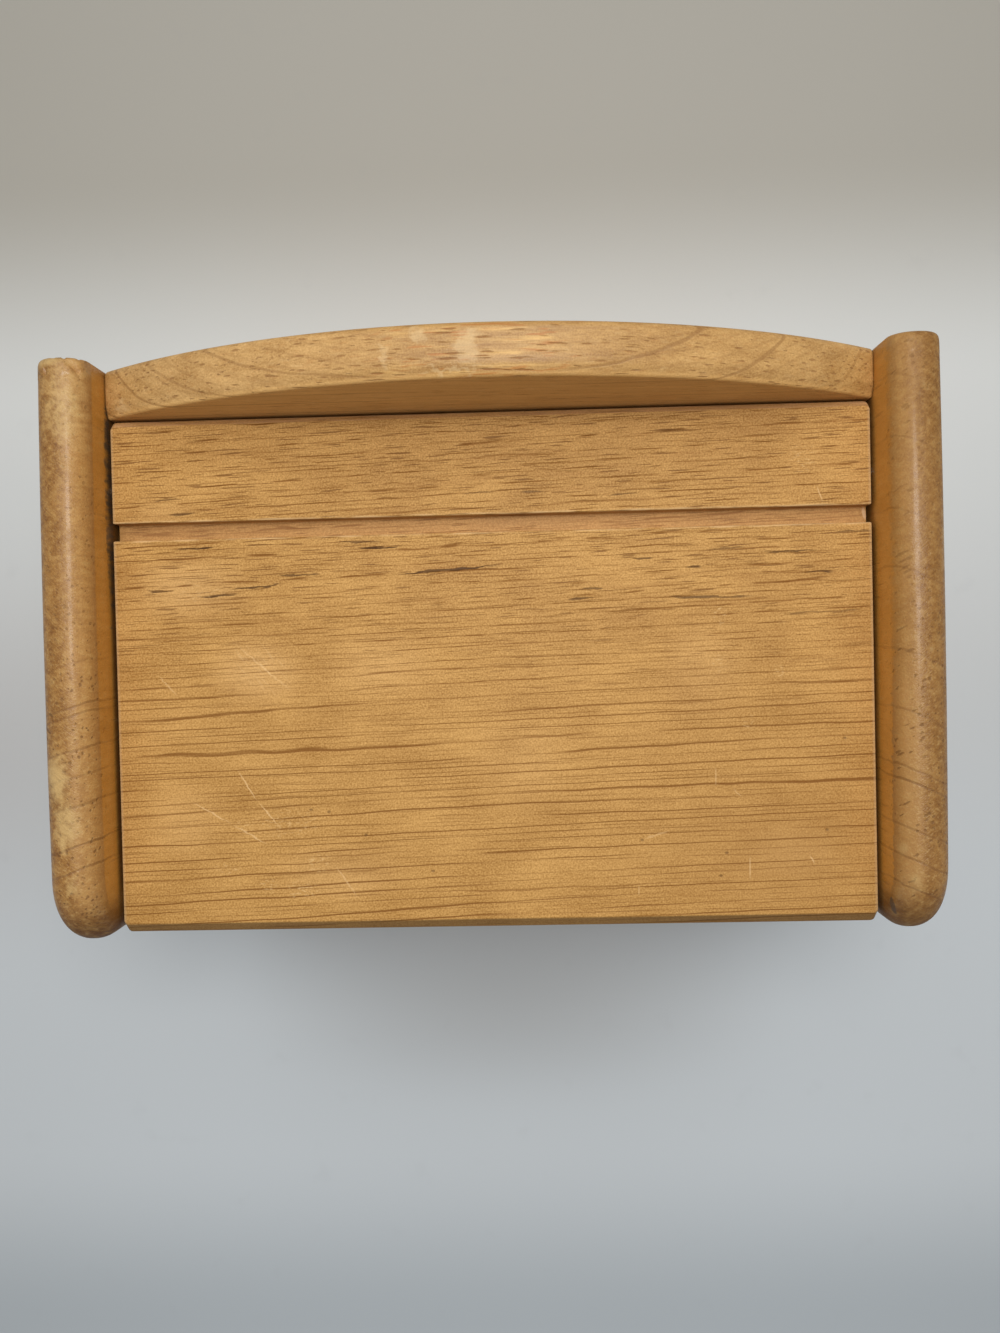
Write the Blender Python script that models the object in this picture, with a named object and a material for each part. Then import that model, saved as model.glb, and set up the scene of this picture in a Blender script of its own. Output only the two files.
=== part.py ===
"""A wooden box for recipe cards.

Two side boards with rounded edges carry an arched back board, a front panel and a
bottom panel on hidden dowels and grooves. A one-board lid with a card groove turns
on two steel pins between the side boards. Metres, +Z up, the front faces -Y.
"""

import math

import bmesh
import bpy
from mathutils import Matrix, Vector

# Lid
LID_WIDTH = 0.1600
LID_DEPTH = 0.1094
LID_THICKNESS = 0.0100
LID_TOP_HEIGHT = 0.1220
LID_FRONT_CHAMFER = 0.0022
LID_REAR_EASE = 0.0012
LID_ARRIS_EASE = 0.0004

# Card groove across the lid
GROOVE_WIDTH = 0.0037
GROOVE_DEPTH = 0.0033
GROOVE_SETBACK = 0.0217

# Gaps round the closed lid
LID_SIDE_GAP = 0.0009
LID_REAR_GAP = 0.0005
LID_SEAT_GAP = 0.0003

# Glue line between joined pieces
JOINT_GAP = 0.0003

# Side boards
SIDE_THICKNESS = 0.0102
SIDE_RISE = 0.0132
SIDE_CROWN = 0.0010
SIDE_FRONT_REACH = 0.0009
SIDE_FRONT_CORNER = 0.0150
SIDE_REAR_CORNER = 0.0020
SIDE_ARRIS_EASE = 0.0006

# Back board
BACK_THICKNESS = 0.0102
ARCH_END_RISE = 0.0003
ARCH_RISE = 0.0252
BACK_FRONT_ROUND = 0.0030
BACK_REAR_ROUND = 0.0015

# Front panel
FRONT_THICKNESS = 0.0100
FRONT_SETBACK = 0.0061
PANEL_ARRIS_EASE = 0.0005

# Bottom panel, held in grooves all round
BOTTOM_THICKNESS = 0.0040
BOTTOM_LIFT = 0.0040
BOTTOM_GROOVE_DEPTH = 0.0040

# Pivot pins
PIN_RADIUS = 0.0015
PIN_DROP = 0.0045
PIN_SETBACK = 0.0143
PIN_DEPTH_IN_SIDE = 0.0065
PIN_DEPTH_IN_LID = 0.0085
PIN_END_CHAMFER = 0.0003
PIN_RUNNING_GAP = 0.00025

# Dowels that join the front panel and the back board to the side boards
DOWEL_RADIUS = 0.0030
DOWEL_DEPTH_IN_SIDE = 0.0060
DOWEL_DEPTH_IN_PANEL = 0.0140
DOWEL_END_CHAMFER = 0.0006
DOWEL_HEIGHT_SHARES = (0.20, 0.52, 0.84)

# How far a cutter runs past the face it opens
CUT_OVERRUN = 0.0020

# Steps of the round shapes
BULLNOSE_STEPS = 16
CORNER_STEPS = 10
CROWN_STEPS = 14
REAR_CORNER_STEPS = 4
ARCH_STEPS = 48
ROUNDOVER_STEPS = 6
EASE_STEPS = 2
BORE_SIDES = 24
SMOOTH_ANGLE = math.radians(35.0)
EASE_ANGLE = math.radians(40.0)

# Places worked out from the sizes
INNER_HALF_WIDTH = LID_WIDTH / 2 + LID_SIDE_GAP
PANEL_LENGTH = 2 * (INNER_HALF_WIDTH - JOINT_GAP)
BOX_DEPTH = SIDE_FRONT_REACH + LID_DEPTH + LID_REAR_GAP + BACK_THICKNESS
SIDE_FRONT_Y = -BOX_DEPTH / 2
SIDE_REAR_Y = BOX_DEPTH / 2
LID_FRONT_Y = SIDE_FRONT_Y + SIDE_FRONT_REACH
LID_REAR_Y = LID_FRONT_Y + LID_DEPTH
LID_UNDERSIDE = LID_TOP_HEIGHT - LID_THICKNESS
BACK_FRONT_Y = LID_REAR_Y + LID_REAR_GAP
BACK_END_HEIGHT = LID_TOP_HEIGHT + ARCH_END_RISE
FRONT_OUTER_Y = LID_FRONT_Y + FRONT_SETBACK
FRONT_INNER_Y = FRONT_OUTER_Y + FRONT_THICKNESS
FRONT_HEIGHT = LID_UNDERSIDE - LID_SEAT_GAP
FRONT_CENTRE_Y = FRONT_OUTER_Y + FRONT_THICKNESS / 2
BACK_CENTRE_Y = BACK_FRONT_Y + BACK_THICKNESS / 2
BOTTOM_TOP = BOTTOM_LIFT + BOTTOM_THICKNESS
PIN_Y = LID_REAR_Y - PIN_SETBACK
PIN_Z = LID_TOP_HEIGHT - PIN_DROP

# Colours, linear
HONEY_WOOD = (0.50, 0.26, 0.085)
PALE_WOOD = (0.58, 0.33, 0.13)
PLY_WOOD = (0.55, 0.34, 0.16)
STEEL = (0.55, 0.55, 0.56)
WOOD_ROUGHNESS = 0.45
DOWEL_ROUGHNESS = 0.70
STEEL_ROUGHNESS = 0.35


def clear_scene():
    for item in list(bpy.data.objects):
        bpy.data.objects.remove(item)


def make_material(name, colour, roughness, metallic):
    material = bpy.data.materials.new(name)
    material.use_nodes = True
    shader = material.node_tree.nodes["Principled BSDF"]
    shader.inputs["Base Color"].default_value = (*colour, 1)
    shader.inputs["Roughness"].default_value = roughness
    shader.inputs["Metallic"].default_value = metallic
    return material


def finish_mesh(name, bm):
    """Writes a bmesh to a new mesh with its faces pointing out and its rounds shaded smooth."""
    bmesh.ops.recalc_face_normals(bm, faces=bm.faces)
    mesh = bpy.data.meshes.new(name)
    bm.to_mesh(mesh)
    bm.free()
    mesh.shade_smooth()
    mesh.set_sharp_from_angle(angle=SMOOTH_ANGLE)
    return mesh


def place(name, mesh, material, location):
    piece = bpy.data.objects.new(name, mesh)
    piece.location = location
    mesh.materials.append(material)
    bpy.context.scene.collection.objects.link(piece)
    return piece


def stack_layers(bm, layers):
    """Joins a stack of equal outlines into one closed skin, capped at both ends."""
    rings = [[bm.verts.new(point) for point in layer] for layer in layers]
    count = len(rings[0])
    for lower, upper in zip(rings, rings[1:]):
        for i in range(count):
            j = (i + 1) % count
            bm.faces.new((lower[i], lower[j], upper[j], upper[i]))
    bm.faces.new(list(reversed(rings[0])))
    bm.faces.new(rings[-1])


def add_block(bm, low, high):
    """Adds a rectangular block between two opposite corners."""
    low = Vector(low)
    high = Vector(high)
    span = high - low
    matrix = Matrix.Translation((low + high) / 2) @ Matrix.Diagonal((*span, 1))
    bmesh.ops.create_cube(bm, size=1, matrix=matrix)


def add_rod(bm, start, end, y, z, radius, chamfer=0):
    """Adds a round rod along X, with its ends chamfered where a chamfer is given."""
    stations = [(start, radius - chamfer), (end, radius - chamfer)]
    if chamfer:
        stations.insert(1, (start + chamfer, radius))
        stations.insert(2, (end - chamfer, radius))
    layers = []
    for x, ring_radius in stations:
        turns = [2 * math.pi * i / BORE_SIDES for i in range(BORE_SIDES)]
        layers.append([
            (x, y + ring_radius * math.cos(a), z + ring_radius * math.sin(a)) for a in turns
        ])
    stack_layers(bm, layers)


def ease_arrises(piece, width):
    """Rounds the square arrises of a piece and leaves its smooth rounds alone."""
    ease = piece.modifiers.new("eased_arrises", "BEVEL")
    ease.width = width
    ease.segments = EASE_STEPS
    ease.limit_method = "ANGLE"
    ease.angle_limit = EASE_ANGLE


def cut(piece, bm, label):
    """Cuts the shapes in a bmesh, given in the piece's own frame, out of the piece."""
    mesh = finish_mesh(label, bm)
    cutter = bpy.data.objects.new(label, mesh)
    cutter.location = piece.location
    cutter.hide_render = True
    cutter.display_type = "WIRE"
    bpy.context.scene.collection.objects.link(cutter)
    step = piece.modifiers.new(label, "BOOLEAN")
    step.operation = "DIFFERENCE"
    step.object = cutter


def arc(centre, radius, start, end, steps):
    """Points on an arc of the plane, from one angle to another."""
    points = []
    for i in range(steps + 1):
        angle = start + (end - start) * i / steps
        points.append((
            centre[0] + radius * math.cos(angle),
            centre[1] + radius * math.sin(angle),
        ))
    return points


def dowel_heights(board_height):
    return [share * board_height for share in DOWEL_HEIGHT_SHARES]


def side_outline(inset):
    """Side board seen from the side: a flat rear end, a crowned top and a round front corner.

    The inset draws the top and the front edge in, as the rounded edge of the board does.
    """
    half_depth = BOX_DEPTH / 2
    crest = LID_TOP_HEIGHT + SIDE_RISE
    crown_radius = (half_depth ** 2 + SIDE_CROWN ** 2) / (2 * SIDE_CROWN)
    crown_z = crest - crown_radius

    front_y = SIDE_FRONT_Y + SIDE_FRONT_CORNER
    front_z = crown_z + math.sqrt((crown_radius - SIDE_FRONT_CORNER) ** 2 - front_y ** 2)
    front_turn = math.atan2(front_z - crown_z, front_y)
    rear_y = SIDE_REAR_Y - SIDE_REAR_CORNER
    rear_reach = crown_radius - inset - SIDE_REAR_CORNER
    rear_z = crown_z + math.sqrt(rear_reach ** 2 - rear_y ** 2)
    rear_turn = math.atan2(rear_z - crown_z, rear_y)

    outline = [(SIDE_FRONT_Y + inset, 0)]
    outline += arc((front_y, front_z), SIDE_FRONT_CORNER - inset, math.pi, front_turn, CORNER_STEPS)
    outline += arc((0, crown_z), crown_radius - inset, front_turn, rear_turn, CROWN_STEPS)[1:-1]
    outline += arc((rear_y, rear_z), SIDE_REAR_CORNER, rear_turn, 0, REAR_CORNER_STEPS)
    outline.append((SIDE_REAR_Y, 0))
    return outline


def make_side(name, hand, wood):
    """Side board with a full round along its top and front edges, bored from its inner face."""
    half = SIDE_THICKNESS / 2
    layers = []
    for i in range(BULLNOSE_STEPS + 1):
        angle = math.pi * i / BULLNOSE_STEPS
        inset = half * (1 - math.sin(angle))
        x = -half * math.cos(angle)
        layers.append([(x, y, z) for y, z in side_outline(inset)])
    bm = bmesh.new()
    stack_layers(bm, layers)
    centre_x = hand * (INNER_HALF_WIDTH + half)
    side = place(name, finish_mesh(name, bm), wood, (centre_x, 0, 0))
    ease_arrises(side, SIDE_ARRIS_EASE)

    inner = -hand * half
    mouth = inner - hand * CUT_OVERRUN
    bm = bmesh.new()
    dowel_end = inner + hand * (DOWEL_DEPTH_IN_SIDE + JOINT_GAP)
    for board_y, height in ((FRONT_CENTRE_Y, FRONT_HEIGHT), (BACK_CENTRE_Y, BACK_END_HEIGHT)):
        for z in dowel_heights(height):
            add_rod(bm, mouth, dowel_end, board_y, z, DOWEL_RADIUS + JOINT_GAP)
    pin_end = inner + hand * (PIN_DEPTH_IN_SIDE + JOINT_GAP)
    add_rod(bm, mouth, pin_end, PIN_Y, PIN_Z, PIN_RADIUS + JOINT_GAP)
    cut(side, bm, name + "_bores")

    bm = bmesh.new()
    floor_x = inner + hand * BOTTOM_GROOVE_DEPTH
    add_block(
        bm,
        (min(mouth, floor_x), FRONT_INNER_Y - BOTTOM_GROOVE_DEPTH, BOTTOM_LIFT - JOINT_GAP),
        (max(mouth, floor_x), BACK_FRONT_Y + BOTTOM_GROOVE_DEPTH, BOTTOM_TOP + JOINT_GAP),
    )
    cut(side, bm, name + "_bottom_groove")
    return side


def back_outline(inset):
    """Back board seen from the front: straight ends under an arched top, drawn in by the inset."""
    half = PANEL_LENGTH / 2
    crest = BACK_END_HEIGHT + ARCH_RISE
    arch_radius = (half ** 2 + ARCH_RISE ** 2) / (2 * ARCH_RISE)
    centre = (0, crest - arch_radius)
    radius = arch_radius - inset
    start = math.acos(half / radius)
    outline = [(-half, 0), (half, 0)]
    outline += arc(centre, radius, start, math.pi - start, ARCH_STEPS)
    return outline


def bore_panel_ends(bm, y, heights):
    """Dowel bores in both ends of a panel that stands between the side boards."""
    end = PANEL_LENGTH / 2
    depth = DOWEL_DEPTH_IN_PANEL + JOINT_GAP
    for z in heights:
        add_rod(bm, -end - CUT_OVERRUN, -end + depth, y, z, DOWEL_RADIUS + JOINT_GAP)
        add_rod(bm, end - depth, end + CUT_OVERRUN, y, z, DOWEL_RADIUS + JOINT_GAP)


def bottom_groove(bm, face_y, into):
    """Groove along a panel's inner face for the bottom panel's edge; into is the cutting side."""
    reach = PANEL_LENGTH / 2 + CUT_OVERRUN
    edges = (face_y - into * CUT_OVERRUN, face_y + into * BOTTOM_GROOVE_DEPTH)
    add_block(
        bm,
        (-reach, min(edges), BOTTOM_LIFT - JOINT_GAP),
        (reach, max(edges), BOTTOM_TOP + JOINT_GAP),
    )


def make_back_board(wood):
    """Arched back board, rounded along its top on both faces."""
    layers = []
    for i in range(ROUNDOVER_STEPS + 1):
        angle = math.pi / 2 * i / ROUNDOVER_STEPS
        y = BACK_FRONT_ROUND * (1 - math.cos(angle))
        inset = BACK_FRONT_ROUND * (1 - math.sin(angle))
        layers.append([(x, y, z) for x, z in back_outline(inset)])
    for i in range(ROUNDOVER_STEPS + 1):
        angle = math.pi / 2 * i / ROUNDOVER_STEPS
        y = BACK_THICKNESS - BACK_REAR_ROUND * (1 - math.sin(angle))
        inset = BACK_REAR_ROUND * (1 - math.cos(angle))
        layers.append([(x, y, z) for x, z in back_outline(inset)])
    bm = bmesh.new()
    stack_layers(bm, layers)
    board = place("back_board", finish_mesh("back_board", bm), wood, (0, BACK_FRONT_Y, 0))

    bm = bmesh.new()
    bore_panel_ends(bm, BACK_THICKNESS / 2, dowel_heights(BACK_END_HEIGHT))
    cut(board, bm, "back_board_bores")
    bm = bmesh.new()
    bottom_groove(bm, 0, 1)
    cut(board, bm, "back_board_bottom_groove")


def make_front_panel(wood):
    """Front panel under the lid's overhang, between the side boards."""
    bm = bmesh.new()
    half = PANEL_LENGTH / 2
    add_block(bm, (-half, 0, 0), (half, FRONT_THICKNESS, FRONT_HEIGHT))
    panel = place("front_panel", finish_mesh("front_panel", bm), wood, (0, FRONT_OUTER_Y, 0))
    ease_arrises(panel, PANEL_ARRIS_EASE)

    bm = bmesh.new()
    bore_panel_ends(bm, FRONT_THICKNESS / 2, dowel_heights(FRONT_HEIGHT))
    cut(panel, bm, "front_panel_bores")
    bm = bmesh.new()
    bottom_groove(bm, FRONT_THICKNESS, -1)
    cut(panel, bm, "front_panel_bottom_groove")


def make_bottom_panel(wood):
    """Thin bottom panel with its four edges in the grooves of the boards round it."""
    reach = BOTTOM_GROOVE_DEPTH - JOINT_GAP
    half = INNER_HALF_WIDTH + reach
    front = FRONT_INNER_Y - reach
    rear = BACK_FRONT_Y + reach
    bm = bmesh.new()
    add_block(bm, (-half, front, 0), (half, rear, BOTTOM_THICKNESS))
    place("bottom_panel", finish_mesh("bottom_panel", bm), wood, (0, 0, BOTTOM_LIFT))


def lid_profile():
    """Lid seen from its end, with the hinge axis at zero: rear ease, card groove, front chamfer."""
    rear = PIN_SETBACK
    front = rear - LID_DEPTH
    top = PIN_DROP
    underside = top - LID_THICKNESS
    groove_rear = rear - GROOVE_SETBACK
    groove_front = groove_rear - GROOVE_WIDTH
    return [
        (rear, underside),
        (rear, top - LID_REAR_EASE),
        (rear - LID_REAR_EASE, top),
        (groove_rear, top),
        (groove_rear, top - GROOVE_DEPTH),
        (groove_front, top - GROOVE_DEPTH),
        (groove_front, top),
        (front + LID_FRONT_CHAMFER, top),
        (front, top - LID_FRONT_CHAMFER),
        (front, underside),
    ]


def make_lid(wood):
    """One-board lid, its origin on the pivot pins' axis, bored at both ends for the pins."""
    end = LID_WIDTH / 2
    bm = bmesh.new()
    stack_layers(bm, [[(x, y, z) for y, z in lid_profile()] for x in (-end, end)])
    lid = place("lid", finish_mesh("lid", bm), wood, (0, PIN_Y, PIN_Z))
    ease_arrises(lid, LID_ARRIS_EASE)

    bm = bmesh.new()
    depth = PIN_DEPTH_IN_LID + PIN_RUNNING_GAP
    add_rod(bm, -end - CUT_OVERRUN, -end + depth, 0, 0, PIN_RADIUS + PIN_RUNNING_GAP)
    add_rod(bm, end - depth, end + CUT_OVERRUN, 0, 0, PIN_RADIUS + PIN_RUNNING_GAP)
    cut(lid, bm, "lid_pin_bores")


def make_pivot_pin(name, hand, steel):
    """Steel pin, fixed in the side board and running in the lid's end."""
    length = PIN_DEPTH_IN_SIDE + LID_SIDE_GAP + PIN_DEPTH_IN_LID
    centre_x = hand * (INNER_HALF_WIDTH + PIN_DEPTH_IN_SIDE - length / 2)
    bm = bmesh.new()
    add_rod(bm, -length / 2, length / 2, 0, 0, PIN_RADIUS, PIN_END_CHAMFER)
    place(name, finish_mesh(name, bm), steel, (centre_x, PIN_Y, PIN_Z))


def make_dowels(prefix, board_y, heights, wood):
    """Dowels of one panel, numbered upwards at each of its two ends."""
    length = DOWEL_DEPTH_IN_PANEL + JOINT_GAP + DOWEL_DEPTH_IN_SIDE
    centre_x = INNER_HALF_WIDTH + DOWEL_DEPTH_IN_SIDE - length / 2
    for end_name, hand in (("left", -1), ("right", 1)):
        for number, z in enumerate(heights, 1):
            name = f"{prefix}_{end_name}_{number}"
            bm = bmesh.new()
            add_rod(bm, -length / 2, length / 2, 0, 0, DOWEL_RADIUS, DOWEL_END_CHAMFER)
            place(name, finish_mesh(name, bm), wood, (hand * centre_x, board_y, z))


clear_scene()

side_wood = make_material("side_wood", HONEY_WOOD, WOOD_ROUGHNESS, 0)
back_wood = make_material("back_wood", PALE_WOOD, WOOD_ROUGHNESS, 0)
front_wood = make_material("front_wood", HONEY_WOOD, WOOD_ROUGHNESS, 0)
lid_wood = make_material("lid_wood", HONEY_WOOD, WOOD_ROUGHNESS, 0)
bottom_ply = make_material("bottom_ply", PLY_WOOD, WOOD_ROUGHNESS, 0)
dowel_wood = make_material("dowel_wood", PALE_WOOD, DOWEL_ROUGHNESS, 0)
pin_steel = make_material("pin_steel", STEEL, STEEL_ROUGHNESS, 1)

make_side("left_side", -1, side_wood)
make_side("right_side", 1, side_wood)
make_back_board(back_wood)
make_front_panel(front_wood)
make_bottom_panel(bottom_ply)
make_lid(lid_wood)
make_pivot_pin("left_pivot_pin", -1, pin_steel)
make_pivot_pin("right_pivot_pin", 1, pin_steel)
make_dowels("front_dowel", FRONT_CENTRE_Y, dowel_heights(FRONT_HEIGHT), dowel_wood)
make_dowels("back_dowel", BACK_CENTRE_Y, dowel_heights(BACK_END_HEIGHT), dowel_wood)
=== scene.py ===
"""Looks of a wooden recipe box with a card groove in its lid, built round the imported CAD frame."""
import math

import bmesh
import bpy
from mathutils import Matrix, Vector, noise


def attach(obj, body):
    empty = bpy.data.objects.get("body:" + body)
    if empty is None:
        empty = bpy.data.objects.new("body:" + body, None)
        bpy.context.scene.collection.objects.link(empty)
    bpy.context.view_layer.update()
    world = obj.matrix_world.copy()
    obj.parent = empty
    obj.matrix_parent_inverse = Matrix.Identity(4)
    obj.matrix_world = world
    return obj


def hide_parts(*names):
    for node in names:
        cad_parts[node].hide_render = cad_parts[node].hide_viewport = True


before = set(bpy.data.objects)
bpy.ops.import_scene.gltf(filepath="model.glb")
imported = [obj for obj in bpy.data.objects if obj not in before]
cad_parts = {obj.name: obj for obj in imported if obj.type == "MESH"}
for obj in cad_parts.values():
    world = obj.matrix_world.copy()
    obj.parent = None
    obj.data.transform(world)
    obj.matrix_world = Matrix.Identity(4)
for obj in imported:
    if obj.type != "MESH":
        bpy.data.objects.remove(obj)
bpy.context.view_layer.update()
scene = bpy.context.scene
scene.view_settings.view_transform = "Standard"


# ---- Camera ----
# A phone held flat above the box, about two hands' widths over the lid and a little to the right
# of its middle, tipped by a degree or two.
PHONE_PLACE = (0.00747, -0.00073, 0.33289)
PHONE_TIP_DEG = (-0.896, 1.552, -1.273)
PHONE_LENS_MM = 27.0

phone = bpy.data.objects.new("phone", bpy.data.cameras.new("phone"))
phone.data.lens = PHONE_LENS_MM
phone.location = PHONE_PLACE
phone.rotation_mode = "ZYX"
phone.rotation_euler = [math.radians(angle) for angle in PHONE_TIP_DEG]
scene.collection.objects.link(phone)
scene.camera = phone


# ---- Table and room light ----
# The box stands on a smooth off-white table top. A lamp hangs over it, a little behind, and gives
# the narrow shine along the side boards and the soft shadow in front; the pale ceiling does the
# rest, with little light from the room's sides. The table's colour holds painted light as well:
# painted lighter just behind the box, with painted shade beside it, in front and further off.
TABLE_HALF_WIDTH = 3.0
TABLE_SQUARES = 24
LAMPS = [
    # name, place, size, watts, colour
    ("lamp", (0.028, 0.060, 0.48), 0.14, 0.72, (1.0, 0.975, 0.94)),
    ("ceiling", (0.0, 0.62, 1.25), 1.50, 8.9, (1.0, 0.99, 0.975)),
]
# Painted shade on the table: beside the box, warmed as a painted reflection of its wood, and a
# painted shadow in front of it
TABLE_PAINTED_SHADES = [
    # centre, half sizes, strength, colour
    ((-0.175, -0.030, 0.0), (0.080, 0.085, 0.1), 0.24, (140, 120, 104)),
    ((0.180, -0.020, 0.0), (0.070, 0.080, 0.1), 0.10, (140, 120, 104)),
    ((0.000, -0.118, 0.0), (0.100, 0.042, 0.1), 0.30, (130, 127, 122)),
]
TABLE_FAR_SHADE_Y = (0.082, 0.162)
TABLE_NEAR_SHADE_Y = (-0.165, -0.225)
LAMP_AIM = (0.0, 0.0, 0.10)
ROOM_STRENGTH = 0.32


def seen(red, green, blue):
    """Colour given as it is seen on a screen, 0 to 255, as the shader takes it."""
    linear = [((c / 255 + 0.055) / 1.055) ** 2.4 for c in (red, green, blue)]
    return (*linear, 1.0)


class Wire:
    """A socket in a material's nodes. Sums on it add Math nodes; node() adds any other node."""

    def __init__(self, tree, socket=None):
        self.tree = tree
        self.socket = socket

    def node(self, kind, settings, inputs, output=0):
        """Adds a node: its settings first, then the values or wires that its inputs take."""
        made = self.tree.nodes.new(kind)
        for name, value in settings.items():
            setattr(made, name, value)
        for name, value in inputs.items():
            if isinstance(value, Wire):
                self.tree.links.new(value.socket, made.inputs[name])
            else:
                made.inputs[name].default_value = value
        return Wire(self.tree, made.outputs[output] if made.outputs else None)

    def beside(self, output):
        """Another output of the same node."""
        return Wire(self.tree, self.socket.node.outputs[output])

    def maths(self, operation, *values):
        return self.node("ShaderNodeMath", {"operation": operation}, dict(enumerate(values)))

    def __add__(self, other):
        return self.maths("ADD", self, other)

    def __sub__(self, other):
        return self.maths("SUBTRACT", self, other)

    def __rsub__(self, other):
        return self.maths("SUBTRACT", other, self)

    def __mul__(self, other):
        return self.maths("MULTIPLY", self, other)

    def __truediv__(self, other):
        return self.maths("DIVIDE", self, other)

    def __pow__(self, other):
        return self.maths("POWER", self, other)

    def __abs__(self):
        return self.maths("ABSOLUTE", self)

    __radd__ = __add__
    __rmul__ = __mul__

    def rise(self, low, high):
        """Smooth step: 0 up to low, 1 from high on, or the other way round where high is lower."""
        limits = {"Value": self, "From Min": low, "From Max": high}
        return self.node("ShaderNodeMapRange", {"interpolation_type": "SMOOTHSTEP"}, limits)

    def most(self, other):
        return self.maths("MAXIMUM", self, other)

    def axis(self, number):
        return self.node("ShaderNodeSeparateXYZ", {}, {0: self}, number)


def tint(amount, under, over):
    """Colour that goes from under to over as the amount goes from 0 to 1."""
    wire = next(v for v in (amount, under, over) if isinstance(v, Wire))
    # The Mix node has same-named sockets for numbers, vectors and colours; these are its colours
    return wire.node("ShaderNodeMix", {"data_type": "RGBA"}, {0: amount, 6: under, 7: over}, 2)


def cloud(place, sizes, detail=2.0):
    """Noise whose patches have these sizes in metres along the three axes."""
    shares = [1 / size for size in sizes]
    scaled = place.node("ShaderNodeVectorMath", {"operation": "MULTIPLY"}, {0: place, 1: shares})
    patches = {"Vector": scaled, "Scale": 1.0, "Detail": detail}
    return scaled.node("ShaderNodeTexNoise", {}, patches)


def mark(here, centre, halves, slope_deg=0.0, turn_deg=(0, 0)):
    """Soft oval mark: 1 at its middle, 0 at its rim and beyond."""
    turn = (math.radians(turn_deg[0]), math.radians(turn_deg[1]), math.radians(slope_deg))
    inside = here.node("ShaderNodeMapping", {"vector_type": "TEXTURE"}, {
        "Vector": here, "Location": centre, "Rotation": turn, "Scale": halves,
    })
    return inside.node("ShaderNodeTexGradient", {"gradient_type": "SPHERICAL"}, {"Vector": inside})


def new_finish(name):
    """Empty material, and the wire of the piece's own coordinates, in metres."""
    material = bpy.data.materials.new(name)
    material.use_nodes = True
    material.node_tree.nodes.clear()
    here = Wire(material.node_tree).node("ShaderNodeTexCoord", {}, {}, "Object")
    return material, here


def surface(here, inputs):
    """Ends a material in one plain shader with these inputs."""
    shader = here.node("ShaderNodeBsdfPrincipled", {}, inputs)
    here.node("ShaderNodeOutputMaterial", {}, {"Surface": shader})


table_finish, here = new_finish("table_laminate")
depth = here.axis(1)
across = here.axis(0)
# Painted light on the table: lighter just behind the box and cooler in front, then painted shade
# beside the box and towards the table's far and near parts
laminate = tint(depth.rise(-0.10, 0.14), seen(206, 213, 218), seen(217, 219, 217))
shade_beside_box = abs(across - 0.01).rise(0.06, 0.24)
shade_beside_box = shade_beside_box * (depth.rise(0.10, 0.04) * 0.08 + depth.rise(0.14, 0.19) * 0.04 + 0.06)
laminate = tint(shade_beside_box, laminate, seen(150, 147, 140))
laminate = tint(depth.rise(*TABLE_FAR_SHADE_Y) * 0.70, laminate, seen(148, 141, 126))
laminate = tint(depth.rise(*TABLE_NEAR_SHADE_Y) * 0.36, laminate, seen(120, 132, 140))
# Lays the painted shade, reflection and shadow marks on the table
for centre, halves, strength, colour in TABLE_PAINTED_SHADES:
    shade = mark(here, centre, halves).rise(0.0, 1.0) * strength
    laminate = tint(shade, laminate, seen(*colour))
smudge = cloud(here, (0.012, 0.012, 0.012), 4.0).rise(0.60, 0.80) * 0.06
laminate = tint(smudge, laminate, seen(150, 152, 155))
surface(here, {
    "Base Color": laminate,
    "Roughness": cloud(here, (0.05, 0.05, 0.05)) * 0.12 + 0.5,
    "Specular IOR Level": 0.25,
})

bm = bmesh.new()
bmesh.ops.create_grid(
    bm, x_segments=TABLE_SQUARES, y_segments=TABLE_SQUARES, size=TABLE_HALF_WIDTH,
)
table_mesh = bpy.data.meshes.new("table_top")
bm.to_mesh(table_mesh)
bm.free()
table_mesh.materials.append(table_finish)
table_top = bpy.data.objects.new("table_top", table_mesh)
scene.collection.objects.link(table_top)

for name, place, size, watts, colour in LAMPS:
    lamp = bpy.data.objects.new(name, bpy.data.lights.new(name, "AREA"))
    lamp.data.shape = "DISK"
    lamp.data.size = size
    lamp.data.energy = watts
    lamp.data.color = colour
    lamp.location = place
    aim = Vector(LAMP_AIM) - Vector(place)
    lamp.rotation_euler = aim.to_track_quat("-Z", "Y").to_euler()
    scene.collection.objects.link(lamp)

room = bpy.data.worlds.new("room")
room.use_nodes = True
room.node_tree.nodes.clear()
ray = Wire(room.node_tree).node("ShaderNodeLightPath", {}, {})
light_on_box = ray.node("ShaderNodeBackground", {}, {
    "Color": (1, 1, 1, 1), "Strength": ROOM_STRENGTH,
})
backdrop = ray.node("ShaderNodeBackground", {}, {"Color": seen(200, 202, 204), "Strength": 1.0})
seen_or_mirrored = ray.most(ray.beside("Is Glossy Ray")).most(ray.beside("Is Transmission Ray"))
both = ray.node("ShaderNodeMixShader", {}, {0: seen_or_mirrored, 1: light_on_box, 2: backdrop})
both.node("ShaderNodeOutputWorld", {}, {"Surface": both})
scene.world = room


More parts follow.
